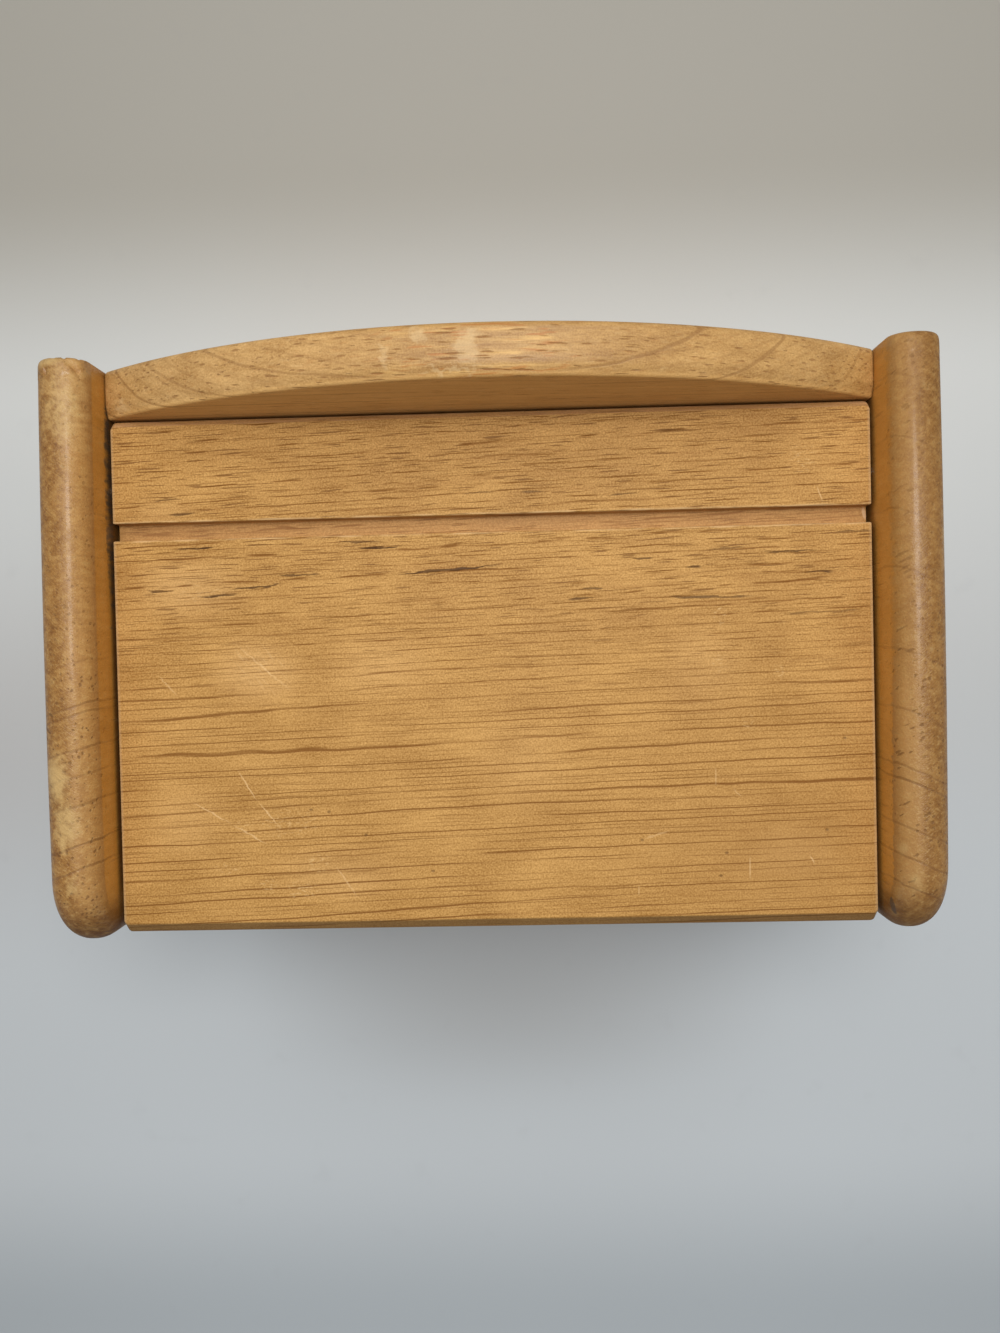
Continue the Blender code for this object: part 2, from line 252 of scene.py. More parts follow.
# ---- Side boards ----
# Two solid boards that stand on edge and carry the rest. Their top and front edges are rounded
# over and rubbed down by hand. The grain stands upright, so the top shows end grain: pores as
# dots and growth lines across the board. Bores in the inner faces take the dowels and the pins.
SIDE_INNER_X = 0.0809
SIDE_THICKNESS = 0.0102
SIDE_MIDDLE_X = SIDE_INNER_X + SIDE_THICKNESS / 2
SIDE_HALF_DEPTH = 0.0605
SIDE_CREST = 0.1352
SIDE_CROWN = 0.0010
SIDE_FRONT_CORNER = 0.0150
SIDE_REAR_CORNER = 0.0020
SIDE_EASE = 0.0005
SIDE_INNER_ROUND_DROP = 0.0058
SIDE_INNER_ROUND_POWER = 2.4
SIDE_RUB = 0.00012
SIDE_RUB_FROM_Z = 0.02
SIDE_RUB_TOWARDS_Z = 0.06
SIDE_CHIPS = 0.0016
SIDE_CHIPS_LENGTH = 0.004
SIDE_CHIPS_HEIGHT = 0.008
SIDE_FRONT_STEPS = 30
SIDE_FRONT_CORNER_STEPS = 26
SIDE_CREST_STEPS = 60
SIDE_CREST_FINE_FROM = 0.93
SIDE_CREST_FINE_STEPS = 22
SIDE_REAR_CORNER_STEPS = 8
SIDE_ROUND_STEPS = 16
SIDE_EASE_STEPS = 4
JOINT_GAP = 0.0003
DOWEL_RADIUS = 0.0030
DOWEL_DEPTH_IN_SIDE = 0.0060
FRONT_DOWEL_PLACES = [(-0.0485, z) for z in (0.02234, 0.058084, 0.093828)]
BACK_DOWEL_PLACES = [(0.0554, z) for z in (0.02446, 0.063596, 0.102732)]
PIN_PLACE = (0.0355, 0.1175)
PIN_RADIUS = 0.0015
PIN_DEPTH_IN_SIDE = 0.0065
BOTTOM_GROOVE_DEPTH = 0.0040
BOTTOM_GROOVE_Z = (0.0037, 0.0083)
SIDE_GROOVE_Y = (-0.0475, 0.0543)
CUT_OVERRUN = 0.0020


def bend_points(centre, radius, start, end, steps):
    """Points on an arc of the plane, from one angle to another."""
    points = []
    for i in range(steps + 1):
        turn = start + (end - start) * i / steps
        points.append((centre[0] + radius * math.cos(turn), centre[1] + radius * math.sin(turn)))
    return points


def show(name, bm):
    """Object that shows a finished mesh, its faces turned outwards."""
    bmesh.ops.recalc_face_normals(bm, faces=bm.faces)
    mesh = bpy.data.meshes.new(name)
    bm.to_mesh(mesh)
    bm.free()
    piece = bpy.data.objects.new(name, mesh)
    scene.collection.objects.link(piece)
    return piece


def stack(bm, rings):
    """Closed solid through rings of equally many points."""
    loops = [[bm.verts.new(point) for point in ring] for ring in rings]
    for near, far in zip(loops, loops[1:]):
        for i, corner in enumerate(near):
            j = (i + 1) % len(near)
            bm.faces.new((corner, near[j], far[j], far[i]))
    bm.faces.new(reversed(loops[0]))
    bm.faces.new(loops[-1])


def rod(bm, start, end, y, z, radius, steps=32):
    """Straight rod along X."""
    circle = bend_points((y, z), radius, 0, 2 * math.pi, steps)[:-1]
    stack(bm, [[(x, a, b) for a, b in circle] for x in (start, end)])


def block(bm, low, high):
    """Box between two opposite corners."""
    stack(bm, [
        [(x, low[1], low[2]), (x, high[1], low[2]), (x, high[1], high[2]), (x, low[1], high[2])]
        for x in (low[0], high[0])
    ])


def cut_away(piece, bm):
    """Cuts the shapes in bm out of the piece, for good."""
    tool = show("tool", bm)
    cutter = piece.modifiers.new("cut", "BOOLEAN")
    cutter.object = tool
    cutter.solver = "EXACT"
    cut = piece.evaluated_get(bpy.context.evaluated_depsgraph_get())
    mesh = bpy.data.meshes.new_from_object(cut)
    piece.modifiers.clear()
    piece.data = mesh
    bpy.data.objects.remove(tool)


def fair(piece, crease_deg=32):
    """Smooth shading over the rounds, with flat faces kept flat and hard corners kept hard."""
    piece.data.shade_smooth()
    piece.data.set_sharp_from_angle(angle=math.radians(crease_deg))
    weighted = piece.modifiers.new("flat_faces", "WEIGHTED_NORMAL")
    weighted.keep_sharp = True
    weighted.weight = 80


def dress(piece, finish, body, nodes):
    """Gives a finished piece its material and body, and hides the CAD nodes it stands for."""
    piece.data.materials.clear()
    piece.data.materials.append(finish)
    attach(piece, body)
    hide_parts(*nodes)


def ease_in(distance, ease):
    """How far an edge draws back at a distance from the face that it rounds into."""
    if distance >= ease:
        return 0.0
    return ease - math.sqrt(ease ** 2 - (ease - distance) ** 2)


def side_ring(x, inset, ease, seed):
    """Outline of a side board at one depth of its thickness, rubbed a little uneven."""
    crown_radius = (SIDE_HALF_DEPTH ** 2 + SIDE_CROWN ** 2) / (2 * SIDE_CROWN)
    crown_z = SIDE_CREST - crown_radius
    front_y = SIDE_FRONT_CORNER - SIDE_HALF_DEPTH
    reach = crown_radius - SIDE_FRONT_CORNER
    front_z = crown_z + math.sqrt(reach ** 2 - front_y ** 2)
    front_turn = math.atan2(front_z - crown_z, front_y)
    rear_y = SIDE_HALF_DEPTH - SIDE_REAR_CORNER
    rear_z = crown_z + math.sqrt((crown_radius - inset - SIDE_REAR_CORNER) ** 2 - rear_y ** 2)
    rear_turn = math.atan2(rear_z - crown_z, rear_y)

    front = inset - SIDE_HALF_DEPTH
    outline = [(front, ease)]
    outline += [(front, front_z * i / SIDE_FRONT_STEPS) for i in range(1, SIDE_FRONT_STEPS)]
    corner = SIDE_FRONT_CORNER - inset
    outline += bend_points(
        (front_y, front_z), corner, math.pi, front_turn, SIDE_FRONT_CORNER_STEPS,
    )
    crest = crown_radius - inset
    fine_turn = front_turn + (rear_turn - front_turn) * SIDE_CREST_FINE_FROM
    outline += bend_points((0, crown_z), crest, front_turn, fine_turn, SIDE_CREST_STEPS)[1:]
    outline += bend_points((0, crown_z), crest, fine_turn, rear_turn, SIDE_CREST_FINE_STEPS)[1:-1]
    corner = SIDE_REAR_CORNER - ease
    outline += bend_points((rear_y, rear_z), corner, rear_turn, 0, SIDE_REAR_CORNER_STEPS)
    outline.append((SIDE_HALF_DEPTH - ease, ease))

    ring = []
    for y, z in outline:
        rubbed = 0.5 + 0.5 * noise.noise(Vector((x * 90, y * 60 + seed, z * 60)))
        pull = SIDE_RUB * rubbed * (inset > 0 or abs(x) < SIDE_INNER_X + SIDE_THICKNESS)
        if z > SIDE_RUB_FROM_Z and y < SIDE_HALF_DEPTH - SIDE_CHIPS_LENGTH:
            towards = Vector((-y, SIDE_RUB_TOWARDS_Z - z)).normalized() * pull
            y, z = y + towards.x, z + towards.y
        elif z > SIDE_CREST - SIDE_CHIPS_HEIGHT and x < 0:
            chip = max(0, noise.noise(Vector((x * 700, y * 500, z * 500))) - 0.1) * SIDE_CHIPS
            y, z = y - chip, z - chip
        ring.append((x, y, z))
    return ring


def make_side(name, hand, seed):
    """Side board: rings across its thickness, drawn in towards both faces."""
    half = SIDE_THICKNESS / 2
    depths = [half * math.sin(math.pi / 2 * i / SIDE_ROUND_STEPS) for i in range(SIDE_ROUND_STEPS)]
    for i in range(SIDE_EASE_STEPS):
        depths.append(half - SIDE_EASE * (1 - math.cos(math.pi / 2 * i / SIDE_EASE_STEPS)))
    depths = {sign * depth for depth in depths for sign in (1, -1)}
    rings = []
    for depth in sorted(round(d, 6) for d in depths):
        if depth < 0:
            fullness = 1 - min(1, -depth / half) ** SIDE_INNER_ROUND_POWER
            inset = SIDE_INNER_ROUND_DROP * (1 - fullness ** (1 / SIDE_INNER_ROUND_POWER))
        else:
            inset = half - math.sqrt(max(0, half ** 2 - depth ** 2))
        ease = ease_in(half - abs(depth), SIDE_EASE)
        rings.append(side_ring(hand * (SIDE_INNER_X + half + depth), inset, ease, seed))
    bm = bmesh.new()
    stack(bm, rings)
    side = show(name, bm)

    bm = bmesh.new()
    mouth = hand * (SIDE_INNER_X - CUT_OVERRUN)
    dowel_end = hand * (SIDE_INNER_X + DOWEL_DEPTH_IN_SIDE + JOINT_GAP)
    for y, z in FRONT_DOWEL_PLACES + BACK_DOWEL_PLACES:
        rod(bm, mouth, dowel_end, y, z, DOWEL_RADIUS + JOINT_GAP)
    pin_end = hand * (SIDE_INNER_X + PIN_DEPTH_IN_SIDE + JOINT_GAP)
    rod(bm, mouth, pin_end, *PIN_PLACE, PIN_RADIUS + JOINT_GAP)
    left, right = sorted((mouth, hand * (SIDE_INNER_X + BOTTOM_GROOVE_DEPTH)))
    low = (left, SIDE_GROOVE_Y[0], BOTTOM_GROOVE_Z[0])
    high = (right, SIDE_GROOVE_Y[1], BOTTOM_GROOVE_Z[1])
    block(bm, low, high)
    cut_away(side, bm)
    fair(side)
    return side


def grain_way(here, turn_deg, shift):
    """Coordinates turned so that the grain runs along the first axis, with rings on the second."""
    turn = [math.radians(angle) for angle in turn_deg]
    turned = {"Vector": here, "Rotation": turn, "Location": shift}
    return here.node("ShaderNodeMapping", {}, turned)


def growth_lines(grain, gap, width, wander, run):
    """Fine lines of late wood, a gap apart on average: they wander, close up and part again."""
    drift = cloud(grain, (run * 2, gap * 14, gap * 30), 1.0) - 0.5
    spread = cloud(grain, (run, gap * 2.2, gap * 12), 1.0) - 0.5
    waver = cloud(grain, (0.012, 0.012, 0.012), 1.0) - 0.5
    turns = grain.axis(1) / gap + drift * wander * 2 + spread * wander + waver * (0.0006 / gap)
    return turns.maths("PINGPONG", turns, 0.5).rise(width / gap, width * 0.3 / gap)


def pores(grain, gap, run, size):
    """Open pores: dots where the surface cuts across the grain, dashes where it runs along it."""
    shares = (1 / run, 1 / gap, 1 / gap)
    cells = grain.node("ShaderNodeVectorMath", {"operation": "MULTIPLY"}, {0: grain, 1: shares})
    stray = {"Vector": cells, "Scale": 2.6, "Detail": 1.0}
    bent = cells.node("ShaderNodeVectorMath", {"operation": "MULTIPLY_ADD"}, {
        0: cells.node("ShaderNodeTexNoise", {}, stray, "Color"),
        1: (0.45, 0.45, 0.45),
        2: cells,
    })
    spot = bent.node("ShaderNodeTexVoronoi", {}, {"Vector": bent, "Scale": 1.0})
    kind = spot.beside("Color").axis(0)
    edge = (kind * 0.75 + 0.35) * (size / gap)
    return (spot / edge).rise(1.0, 0.45)


def relief(here, height, depth):
    """Normal of a surface raised by up to this depth in metres where the height is 1."""
    return here.node("ShaderNodeBump", {}, {"Height": height, "Distance": depth, "Strength": 1.0})


def strongest(marks):
    """The strongest of several marks at each place."""
    found = 0.0
    for each in marks:
        found = each.most(found)
    return found


def ring_lines(across, places, half_width):
    """Growth rings where they are seen: (place, strength) pairs along a coordinate."""
    return strongest(
        abs(across - place).rise(half_width, half_width * 0.3) * strength
        for place, strength in places
    )


def side_finish(name, hand, age, rim, ring_slope, rings_seen, shift, wear_and_highlight_marks, bruise_and_shade_marks):
    """Satin lacquer over upright grain, paler and duller along the rounded top, where hands rub.

    hand is -1 on the left and 1 on the right, age is how much the wood has darkened, and rim how
    ragged the upper edge of the clean inner face is, in metres.
    """
    finish, here = new_finish(name)
    grain = grain_way(here, (0, 90, 0), shift)
    x, y, z = here.axis(0), here.axis(1), here.axis(2)
    out_y = (SIDE_FRONT_CORNER - SIDE_HALF_DEPTH - y).most(0.0) * 0.80
    crown = y * y * (SIDE_CROWN / SIDE_HALF_DEPTH ** 2)
    out_z = (z + crown - (SIDE_CREST - SIDE_FRONT_CORNER)).most(0.0)
    reach = (out_y * out_y + out_z * out_z) ** 0.5
    waver = (cloud(here, (0.006, 0.006, 0.006), 2.0) - 0.5) * 0.0016
    across = y - (x - hand * SIDE_MIDDLE_X) * math.tan(ring_slope) + waver
    rings = ring_lines(across, rings_seen, 0.00038)
    rings = rings * (cloud(here, (0.004, 0.004, 0.02), 1.0) + 0.4)
    end_grain = z.rise(0.1235, 0.1315)
    slanted = grain_way(here, (0, 58, -24 * hand), shift)
    dots = pores(slanted, 0.00108, 0.0060, 0.00040) * end_grain
    dots = dots * (y.rise(0.012, -0.012) * 0.4 + 0.6)
    dots = (pores(grain, 0.00125, 0.012, 0.00040) * (1 - end_grain) * 0.40).most(dots)
    dots = dots * cloud(grain, (0.05, 0.005, 0.005), 1.0).rise(0.32, 0.46)
    fibres = cloud(grain, (0.007, 0.00034, 0.00034), 2.0)
    blotch = cloud(here, (0.0045, 0.007, 0.012), 4.0)
    mottle = cloud(here, (0.0013, 0.0013, 0.004), 3.0)
    speckle = cloud(here, (0.00035, 0.00035, 0.00035), 1.0)
    rubbing = cloud(grain_way(here, (0, 0, -42 * hand), (0, 0, 0)), (0.0019, 0.00026, 0.003), 2.0)

    lightness = (blotch - 0.5) * 0.9 + (mottle - 0.5) * 0.9 + (speckle - 0.5) * 0.9 + 0.5
    wood = tint(lightness, seen(112, 70, 26), seen(176, 128, 64))
    bend_start = SIDE_FRONT_CORNER - SIDE_INNER_ROUND_DROP
    flat = reach + (mottle - 0.5) * (rim + 0.0006)
    flat_end = y.rise(-0.025, 0.010) * (rim - 0.0004) + bend_start + 0.0004
    flat = flat.rise(flat_end, bend_start - 0.0006)
    inner = (x * hand).rise(SIDE_MIDDLE_X, SIDE_INNER_X + SIDE_THICKNESS / 4)
    inner = inner * (y + (blotch - 0.5) * 0.004).rise(-0.0565, -0.0470)
    # The right board's inner face is painted lighter (hand * 0.15): painted light that makes up for
    # the lamp, which lights it less than the left one
    inner_tone = tint(lightness * 0.6 + 0.2 + hand * 0.15, seen(172, 118, 46), seen(220, 160, 74))
    wood = tint(flat * inner, wood, inner_tone)
    # Painted shade on the inner face below the lid's top, in the gap beside the lid, deeper on the
    # left
    gap_shade_below_lid = z.rise(0.1226 - hand * 0.0004, 0.1197 - hand * 0.0007)
    wood = tint(flat * inner * gap_shade_below_lid * (0.78 - hand * 0.12), wood, seen(104, 68, 32))
    # Painted light on the inner bend of the rounded top, which faces away from the lamp; more of it
    # towards the front of the right board
    painted_light_on_bend = inner * (1 - flat) * end_grain
    painted_light_on_bend = painted_light_on_bend * (y.rise(0.004, -0.014) * (hand + 1) * 0.09 + 0.38)
    wood = tint(painted_light_on_bend, wood, seen(206, 158, 98))
    outer_flat = reach.rise(
        SIDE_FRONT_CORNER - SIDE_THICKNESS * 0.4, SIDE_FRONT_CORNER - SIDE_THICKNESS * 0.5,
    )
    outer = (x * hand).rise(
        SIDE_INNER_X + SIDE_THICKNESS * 0.6, SIDE_INNER_X + SIDE_THICKNESS * 0.9,
    )
    lengthwise = cloud(grain, (0.060, 0.0030, 0.0030), 2.0).rise(0.30, 0.70)
    stripes = (fibres - 0.5) * 0.9 + lengthwise * 0.8 + 0.1
    faces = tint(stripes, seen(150, 102, 46), seen(204, 154, 86))
    front_edge = y.rise(-0.0490, -0.0560) * z.rise(0.121, 0.108)
    rear_edge = y.rise(0.0560, 0.0600) * z.rise(0.131, 0.120)
    wood = tint((outer_flat * outer).most(front_edge).most(rear_edge), wood, faces)
    # Painted shade on the rounded front corner, which faces away from the lamps; deeper on the left
    # board. The same mask also makes the front round rougher and less glossy.
    shaded_front_round = y.rise(-0.0500, -0.0575) * z.rise(0.110, 0.121)
    wood = tint(shaded_front_round * (0.76 - hand * 0.12), wood, seen(98, 57, 6))
    rubbed = reach.rise(0.0092, 0.0118)
    rub_marks = (rubbing - 0.5) * 0.9 + (mottle - 0.5) * 0.9 + 0.10
    wood = tint(rubbed * rub_marks, wood, seen(188, 148, 86))
    # Painted shade along the crest, darkened against the lamp's shine, a little more on the right
    # board
    wood = tint(reach.rise(0.0130, 0.0148) * (0.18 + hand * 0.03), wood, seen(98, 60, 14))
    towards_front = y.rise(0.020, -0.030) * 0.5 + 0.5
    flecks = cloud(here, (0.0006, 0.0006, 0.0010), 3.0).rise(0.52, 0.72)
    flecks = flecks * end_grain * towards_front * (1 - shaded_front_round * 0.8)
    wood = tint(flecks * 0.32, wood, seen(214, 178, 118))
    wood = tint(rings * (end_grain * 0.35 + 0.30), wood, seen(104, 64, 26))
    wood = tint(dots * 0.58, wood, seen(90, 55, 20))
    # Pale marks: worn spots and a chip, and on the left board's rear crest a painted highlight
    pale = strongest(
        mark(here, centre, halves).rise(0.0, 0.9) * strength
        for centre, halves, strength in wear_and_highlight_marks
    )
    wood = tint((pale + mottle * 1.1 - 0.62).rise(-0.1, 0.9) * 0.62, wood, seen(208, 176, 118))
    # Dark marks: a bruise on the right board, and on the left board painted shade in the gap beside
    # the lid
    dark = strongest(
        mark(here, centre, halves).rise(0.0, 0.5) * strength
        for centre, halves, strength in bruise_and_shade_marks
    )
    wood = tint((dark + mottle * 1.3 - 0.95).rise(-0.1, 0.4) * 0.85, wood, seen(74, 64, 54))
    wood = tint((1 - flat * inner) * age, wood, seen(112, 78, 34))
    height = (fibres - 0.5) * 0.4 + (speckle - 0.5) * 0.6 + (rubbing - 0.5) * rubbed * 0.6
    height = height - dots * 0.6 - rings * 0.4
    roughness = blotch * 0.16 + (rubbing - 0.5) * rubbed * 0.5 + y.rise(0.018, 0.040) * age
    surface(here, {
        "Base Color": wood,
        "Roughness": roughness + dots * 0.2 + shaded_front_round * 0.2 + 0.34,
        "Specular IOR Level": 0.30,
        "Coat Weight": (1 - shaded_front_round) * (blotch.rise(0.40, 0.58) * 0.12 + 0.05),
        "Coat Roughness": 0.16,
        "Normal": relief(here, height, 0.00012),
    })
    return finish


LEFT_RINGS = [
    # place along the top, strength
    (-0.0439, 0.9), (-0.0388, 0.9), (-0.0308, 0.7), (-0.0249, 0.5), (-0.0195, 0.6), (-0.0125, 0.6),
    (-0.0107, 0.7), (-0.0020, 0.3), (0.0075, 0.2), (0.0190, 0.3), (0.0330, 0.2), (0.0460, 0.2),
]
RIGHT_RINGS = [
    # place along the top, strength
    (-0.0512, 0.7), (-0.0453, 0.7), (-0.0392, 0.6), (-0.0299, 0.9), (-0.0273, 0.7), (-0.0160, 0.5),
    (-0.0040, 0.5), (0.0120, 0.4), (0.0235, 0.5), (0.0380, 0.4), (0.0505, 0.3),
]
LEFT_WEAR_AND_HIGHLIGHT_MARKS = [
    # centre, half sizes, strength
    # the first is a painted highlight on the rear of the crest; the others are worn spots and a chip
    ((-0.0842, 0.0505, 0.1340), (0.0070, 0.0150, 0.008), 0.54),
    ((-0.0876, -0.0245, 0.1335), (0.0040, 0.0080, 0.006), 1.0),
    ((-0.0858, -0.0340, 0.1345), (0.0042, 0.0080, 0.006), 0.8),
    ((-0.0866, -0.0375, 0.1340), (0.0016, 0.0038, 0.005), 0.8),
    ((-0.0852, -0.0465, 0.1330), (0.0026, 0.0036, 0.005), 0.6),
    ((-0.0870, 0.0595, 0.1330), (0.0060, 0.0020, 0.006), 0.9),
]
RIGHT_PALE_MARKS = [
    # centre, half sizes, strength
    ((0.0905, 0.0190, 0.1300), (0.0024, 0.0100, 0.006), 0.8),
    ((0.0818, -0.0420, 0.1315), (0.0016, 0.0026, 0.003), 0.6),
    ((0.0835, -0.0485, 0.1340), (0.0020, 0.0044, 0.004), 0.5),
]
# Painted shade in the gap between the lid and the left board; the right board's mark is a bruise
LEFT_GAP_SHADE_MARKS = [((-0.0809, 0.0310, 0.1213), (0.0040, 0.0340, 0.0030), 0.5)]
RIGHT_DARK_MARKS = [((0.0809, -0.0546, 0.1268), (0.0030, 0.0023, 0.0012), 1.0)]

left_side_finish = side_finish(
    "left_side_wood", -1, 0.0, 0.0004, math.radians(17.5), LEFT_RINGS, (0.1, 0.2, 0.0),
    LEFT_WEAR_AND_HIGHLIGHT_MARKS, LEFT_GAP_SHADE_MARKS,
)
right_side_finish = side_finish(
    "right_side_wood", 1, 0.22, 0.0034, math.radians(-25), RIGHT_RINGS, (0.4, 0.1, 0.3),
    RIGHT_PALE_MARKS, RIGHT_DARK_MARKS,
)
left_side = make_side("left_side_board", -1, 3.0)
right_side = make_side("right_side_board", 1, 11.0)
dress(left_side, left_side_finish, "case", ["left_side"])
dress(right_side, right_side_finish, "case", ["right_side"])


# ---- Back board ----
# One board between the sides, its top cut to a low arch that stands above the lid. The saw cuts
# the growth rings aslant there, so lines cross the sloping ends of the arch. Its front corner is
# rounded more than its rear one. Dowels hold it at both ends.
PANEL_HALF_LENGTH = 0.08085
BACK_FRONT_Y = 0.0503
BACK_THICKNESS = 0.0102
BACK_END_HEIGHT = 0.1223
ARCH_RISE = 0.0252
BACK_FRONT_ROUND = 0.0026
BACK_FRONT_DROP = 0.0012
BACK_FRONT_SOFTNESS = 0.0060
BACK_FRONT_ARRIS = 0.0009
BACK_REAR_ROUND = 0.0015
BACK_LOWER_EASE = 0.0005
BACK_END_EASE = 0.0007
BACK_END_DRAW = 0.99
BACK_CORNER_STEPS = 7
BACK_UNEVEN = 0.00008
END_STEPS = 4
DOWEL_DEPTH_IN_PANEL = 0.0140
ARCH_RINGS = 120
ARCH_RINGS_REACH = 0.985
BACK_PITH_LEFT = (0.0805, 0.1650)
BACK_PITH_RIGHT = (0.0780, 0.1830)
BACK_RINGS = [
    # distance from the pith, strength
    (0.0353, 0.8), (0.0411, 0.7), (0.0457, 1.0), (0.0518, 0.9), (0.0612, 0.6),
]
BACK_WORN_RAGGED = 0.0030
BACK_WORN_PATCHES = [
    # centre, half sizes, strength
    ((-0.0023, 0.0560, 0.147), (0.0034, 0.0052, 0.004), 1.0),
    ((-0.0116, 0.0583, 0.147), (0.0020, 0.0022, 0.004), 0.9),
    ((-0.0182, 0.0545, 0.146), (0.0018, 0.0020, 0.004), 0.9),
    ((-0.0050, 0.0516, 0.147), (0.0080, 0.0008, 0.004), 0.9),
    ((-0.0753, 0.0522, 0.124), (0.0042, 0.0024, 0.004), 1.0),
]


def corner_points(outline, steps=5):
    """Outline of (y, z, radius) corners as points, each corner turned with its own radius."""
    points = []
    for i, (y, z, radius) in enumerate(outline):
        here_at = Vector((y, z))
        before = (Vector(outline[i - 1][:2]) - here_at).normalized()
        after = (Vector(outline[(i + 1) % len(outline)][:2]) - here_at).normalized()
        if radius == 0:
            points.append((y, z))
            continue
        half_turn = before.angle(after) / 2
        reach = radius / math.tan(half_turn)
        centre = here_at + (before + after).normalized() * (radius / math.sin(half_turn))
        first = here_at + before * reach - centre
        last = here_at + after * reach - centre
        turn = math.atan2(first.x * last.y - first.y * last.x, first.dot(last))
        start = math.atan2(first.y, first.x)
        points += bend_points(centre, radius, start, start + turn, steps)
    return points


def drawn_in(points, amount):
    """The outline moved inwards by an amount; the points run anticlockwise."""
    moved = []
    for i, point in enumerate(points):
        here_at = Vector(point)
        before = (here_at - Vector(points[i - 1])).normalized()
        after = (Vector(points[(i + 1) % len(points)]) - here_at).normalized()
        inward = Vector((-before.y - after.y, before.x + after.x)).normalized()
        widen = max(0.5, inward.dot(Vector((-before.y, before.x))))
        moved.append(tuple(here_at + inward * (amount / widen)))
    return moved


def end_stations(half_length, ease, middle):
    """Places along a board with their draw-in: close together where the ends are eased."""
    stations = []
    for i in range(END_STEPS + 1):
        turn = math.pi / 2 * i / END_STEPS
        stations.append((half_length - ease * (1 - math.sin(turn)), ease * (1 - math.cos(turn))))
    ends = [(-x, inset) for x, inset in reversed(stations)]
    return ends + [(x, 0.0) for x in middle] + stations


def bore_ends(bm, places, depth):
    """Dowel bores in both ends of a board."""
    for y, z in places:
        for hand in (-1, 1):
            start = hand * (PANEL_HALF_LENGTH - depth - JOINT_GAP)
            end = hand * (PANEL_HALF_LENGTH + CUT_OVERRUN)
            rod(bm, start, end, y, z, DOWEL_RADIUS + JOINT_GAP)


arch_radius = (PANEL_HALF_LENGTH ** 2 + ARCH_RISE ** 2) / (2 * ARCH_RISE)
back_crest = BACK_END_HEIGHT + ARCH_RISE
rear_y = BACK_FRONT_Y + BACK_THICKNESS
between = [
    PANEL_HALF_LENGTH * ARCH_RINGS_REACH * (2 * i / ARCH_RINGS - 1) for i in range(ARCH_RINGS + 1)
]
rings = []
for x, inset in end_stations(PANEL_HALF_LENGTH, BACK_END_EASE, between):
    top = back_crest - arch_radius + math.sqrt(arch_radius ** 2 - x ** 2)
    uneven = BACK_UNEVEN * noise.noise(Vector((x * 45, 0.3, 2.7)))
    ring = corner_points([
        (BACK_FRONT_Y, 0, BACK_LOWER_EASE),
        (rear_y, 0, BACK_LOWER_EASE),
        (rear_y, top, BACK_REAR_ROUND + uneven),
        (BACK_FRONT_Y + BACK_FRONT_ROUND, top, BACK_FRONT_SOFTNESS),
        (BACK_FRONT_Y, top - BACK_FRONT_DROP + uneven * 4, BACK_FRONT_ARRIS),
    ], BACK_CORNER_STEPS)
    rings.append([(x, y, z) for y, z in drawn_in(ring, inset * BACK_END_DRAW)])
bm = bmesh.new()
stack(bm, rings)
back_board = show("arched_back_board", bm)
bm = bmesh.new()
bore_ends(bm, BACK_DOWEL_PLACES, DOWEL_DEPTH_IN_PANEL)
reach = PANEL_HALF_LENGTH + CUT_OVERRUN
low = (-reach, BACK_FRONT_Y - CUT_OVERRUN, BOTTOM_GROOVE_Z[0])
high = (reach, BACK_FRONT_Y + BOTTOM_GROOVE_DEPTH, BOTTOM_GROOVE_Z[1])
block(bm, low, high)
cut_away(back_board, bm)
fair(back_board)

back_finish, here = new_finish("back_board_wood")
grain = grain_way(here, (-48, 0, 1.5), (0.0, 0.004, 0.0))
x, y, z = here.axis(0), here.axis(1), here.axis(2)
to_right = x.rise(-0.010, 0.010)
off_y = y - to_right * (BACK_PITH_RIGHT[0] - BACK_PITH_LEFT[0]) - BACK_PITH_LEFT[0]
off_z = z - to_right * (BACK_PITH_RIGHT[1] - BACK_PITH_LEFT[1]) - BACK_PITH_LEFT[1]
waver = (cloud(here, (0.008, 0.008, 0.008), 2.0) - 0.5) * 0.0009
from_pith = (off_y * off_y + off_z * off_z) ** 0.5 + waver
sloping = abs(x).rise(0.010, 0.024)
rings_seen = ring_lines(from_pith, BACK_RINGS, 0.00030) * sloping
streaky = growth_lines(grain, 0.0022, 0.00030, 2.0, 0.10) * 0.35
arch_top = (arch_radius ** 2 - x * x) ** 0.5 - (arch_radius - back_crest)
on_arch = (arch_top - z).rise(0.0040, 0.0016)
bowed_z = z - on_arch * (arch_top - back_crest) * 0.45
bowed = here.node("ShaderNodeCombineXYZ", {}, {"X": x, "Y": y, "Z": bowed_z})
dashes = pores(grain_way(bowed, (-48, 0, 1.5), (0.0, 0.004, 0.0)), 0.00070, 0.0070, 0.00025)
dashes = dashes * cloud(grain, (0.02, 0.004, 0.004), 1.0).rise(0.28, 0.42)
fibres = cloud(grain, (0.007, 0.00030, 0.00030), 2.0)
blotch = cloud(here, (0.014, 0.0028, 0.004), 4.0)
speckle = cloud(here, (0.00035, 0.00035, 0.00035), 1.0)
lightness = (blotch - 0.5) * 1.3 + (fibres - 0.5) * 0.8 + (speckle - 0.5) * 0.8 + 0.46
wood = tint(lightness, seen(146, 104, 52), seen(202, 160, 98))
lengthwise = cloud(here, (0.060, 0.0030, 0.0030), 2.0).rise(0.30, 0.70)
stripes = (fibres - 0.5) * 0.9 + lengthwise * 0.8 + 0.1
faces = tint(stripes, seen(150, 104, 48), seen(202, 156, 90))
wood = tint(on_arch, faces, wood)
